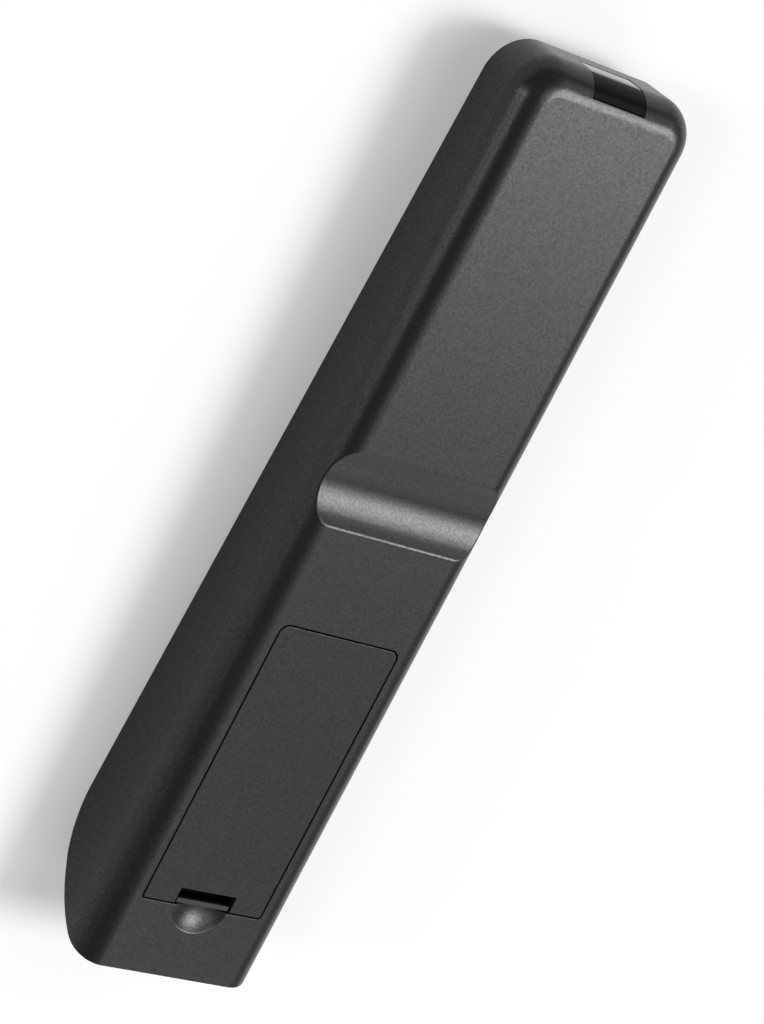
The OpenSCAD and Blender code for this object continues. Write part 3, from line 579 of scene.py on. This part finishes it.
# %% [markdown]
# ## Circuit board
# The board is glass epoxy under a green solder mask. Copper tracks under the mask show as lines of a lighter
# green, drawn here by a brick pattern whose rows are a tenth of an inch apart, as on real boards.

# %% Solder mask
TRACK_PITCH = 2.54 * MM
TRACK_HEIGHT = 0.03 * MM
mask, tree, shader, place = start_material("Solder_mask_green", IOR=1.5, Roughness=0.35)
tracks = add(tree, "ShaderNodeTexBrick", {"Vector": (place, "Object"), "Color1": linear("#0f4a2b"),
                                          "Color2": linear("#115230"), "Mortar": linear("#2c7a48"),
                                          "Scale": 1 / TRACK_PITCH, "Mortar Size": 0.06,
                                          "Brick Width": 3.0, "Row Height": 1.0})
relief = add(tree, "ShaderNodeBump", {"Height": (tracks, "Fac"), "Strength": 0.3, "Distance": TRACK_HEIGHT})
feed(tree, shader, {"Base Color": (tracks, "Color"), "Normal": (relief, "Normal")})
dress(mask, "circuit_board")
print("board finish", mask.name)

# %% [markdown]
# ## Keys
# The keys and the sheet behind them are moulded silicone rubber: soft looking, with a wide sheen. Power is
# red, the four colour keys are plain red, green, yellow and blue, and the others are grey.

# %% Silicone finishes
SILICONE = {"grey": "#5b5b5e", "red": "#a3201c", "green": "#1c7a3c", "yellow": "#c99a1c", "blue": "#1f4fa0"}
RUBBER_GRAIN = 0.25 * MM
rubber = {hue: moulded("Silicone_moulded_" + hue, colour, RUBBER_GRAIN, 0.55, 0.4)
          for hue, colour in SILICONE.items()}
dress(moulded("Silicone_moulded_sheet", "#3a3a3c", RUBBER_GRAIN, 0.6, 0.4), "keypad_sheet")
key_nodes = [name for name in frame["nodes"] if name.startswith("key_")]
for name in key_nodes:
    hue = "red" if name == "key_power" else name.split("_")[1]
    dress(rubber.get(hue, rubber["grey"]), name)
print("keys", len(key_nodes))

# %% [markdown]
# ## Key signs
# The signs are printed on the caps in pale ink: digits, and plain line drawings for the rest. Words come from
# Blender's own font. A line drawing is a flat curve with a thin round section, squeezed to the height of a
# coat of ink. Each sign is made a mesh, turned to face out of the key side, and set on the cap where a ray
# from outside meets it.

# %% Drawing signs
press = next(Vector(j["axis"]) for j in frame["joints"] if j["child"] == "key_1")
outward = -press.normalized()
across = Vector((1, 0, 0))
upward = outward.cross(across)
key_side = Matrix((across, upward, outward)).transposed().to_4x4()
INK_WIDTH = 0.28 * MM
INK_HEIGHT = 0.2


def lines(*strokes):
    """Line drawing from strokes of points in millimetres."""
    data = bpy.data.curves.new("strokes", "CURVE")
    data.dimensions = "3D"
    data.bevel_depth = INK_WIDTH / 2
    data.bevel_resolution = 1
    data.use_fill_caps = True
    for stroke in strokes:
        line = data.splines.new("POLY")
        line.points.add(len(stroke) - 1)
        for point, (u, w) in zip(line.points, stroke):
            point.co = (u * MM, w * MM, 0, 1)
    mesh = baked(data)
    mesh.transform(Matrix.Diagonal((1, 1, INK_HEIGHT, 1)))
    return mesh


def words(text, size=2.9):
    """A short word or a digit, centred, with its size in millimetres."""
    data = bpy.data.curves.new("words", "FONT")
    data.body = text
    data.size = size * MM
    data.align_x = "CENTER"
    data.align_y = "CENTER"
    data.extrude = INK_WIDTH * INK_HEIGHT
    data.resolution_u = 3
    return baked(data)


def arc(radius, start, end, steps=20):
    """Points of an arc, degrees from start to end."""
    turns = [math.radians(start + (end - start) * i / steps) for i in range(steps + 1)]
    return [(radius * math.cos(t), radius * math.sin(t)) for t in turns]


def chevron(turn, size=0.9):
    """An open arrow head that points up, turned by degrees."""
    c, s = math.cos(math.radians(turn)), math.sin(math.radians(turn))
    return [(u * c - w * s, u * s + w * c) for u, w in ((-size, -size / 2), (0, size / 2), (size, -size / 2))]


# %% Which signs go on which key, each with its distance from the key's middle in millimetres
ROCKER_END = 4.2
BARS = [[(-1.1, w), (1.1, w)] for w in (-0.7, 0, 0.7)]
TILES = [[(u + a, w + b) for a, b in ((-0.3, -0.3), (0.3, -0.3), (0.3, 0.3), (-0.3, 0.3), (-0.3, -0.3))]
         for u in (-0.6, 0.6) for w in (-0.6, 0.6)]
MINUS = [[(-1, 0), (1, 0)]]
PLUS = MINUS + [[(0, -1), (0, 1)]]
SIGNS = {
    "key_power": [(lines(arc(1.1, 125, 415), [(0, 0.3), (0, 1.5)]), 0)],
    "key_source": [(lines([(-0.4, 0.9), (1.5, 0.9), (1.5, -0.9), (-0.4, -0.9)], [(-1.6, 0), (0.5, 0)],
                          [(0, 0.5), (0.5, 0), (0, -0.5)]), 0)],
    "key_dash": [(lines([(-1.3, 0), (-0.3, 0)], [(0.3, 0), (1.3, 0)]), 0)],
    "key_list": [(lines(*BARS), 0)],
    "key_volume": [(lines(*PLUS), ROCKER_END), (lines(*MINUS), -ROCKER_END)],
    "key_channel": [(lines(chevron(0)), ROCKER_END), (lines(chevron(180)), -ROCKER_END)],
    "key_mute": [(lines([(-1.4, 0.4), (-0.7, 0.4), (0.1, 1.1), (0.1, -1.1), (-0.7, -0.4), (-1.4, -0.4),
                         (-1.4, 0.4)], [(0.6, 0.6), (1.6, -0.6)], [(0.6, -0.6), (1.6, 0.6)]), 0)],
    "key_info": [(words("i"), 0)],
    "key_up": [(lines(chevron(0)), 0)],
    "key_down": [(lines(chevron(180)), 0)],
    "key_left": [(lines(chevron(90)), 0)],
    "key_right": [(lines(chevron(-90)), 0)],
    "key_ok": [(words("OK", 2.6), 0)],
    "key_menu": [(lines(*BARS), 0)],
    "key_guide": [(lines(*TILES), 0)],
    "key_back": [(lines([(1.1, -0.7), (1.1, 0.3), (-1, 0.3)], [(-0.4, 0.9), (-1, 0.3), (-0.4, -0.3)]), 0)],
    "key_exit": [(lines([(-0.8, 0.8), (0.8, -0.8)], [(-0.8, -0.8), (0.8, 0.8)]), 0)],
}
SIGNS.update({f"key_{n}": [(words(str(n)), 0)] for n in range(10)})
for n in (1, 2, 3):
    SIGNS[f"key_dev_{n}"] = [(lines(*[[(k - n / 2 + 0.2, 0), (k - n / 2 + 0.8, 0)] for k in range(n)]), 0)]

# %% Print the signs
RAY_START = 1 * MM
ink = moulded("Epoxy_screen_ink", "#d8d8d4", 0.2 * MM, 0.5, 0.5)
for node, drawings in SIGNS.items():
    key = frame["nodes"][node]
    local = [key_side.inverted() @ v.co for v in key.data.vertices]
    mid_u, mid_w = ((min(c[i] for c in local) + max(c[i] for c in local)) / 2 for i in (0, 1))
    top = max(c.z for c in local)
    print_form = bmesh.new()
    for mesh, shift in drawings:
        above = key_side @ Vector((mid_u, mid_w + shift * MM, top + RAY_START))
        spot = key.ray_cast(above, -outward)[1]
        mesh.transform(Matrix.Translation(spot) @ key_side)
        print_form.from_mesh(mesh)
        bpy.data.meshes.remove(mesh)
    settle("sign_" + node, mesh_of(print_form, "sign_" + node), node, ink, crease=60)
print("signs", len(SIGNS))
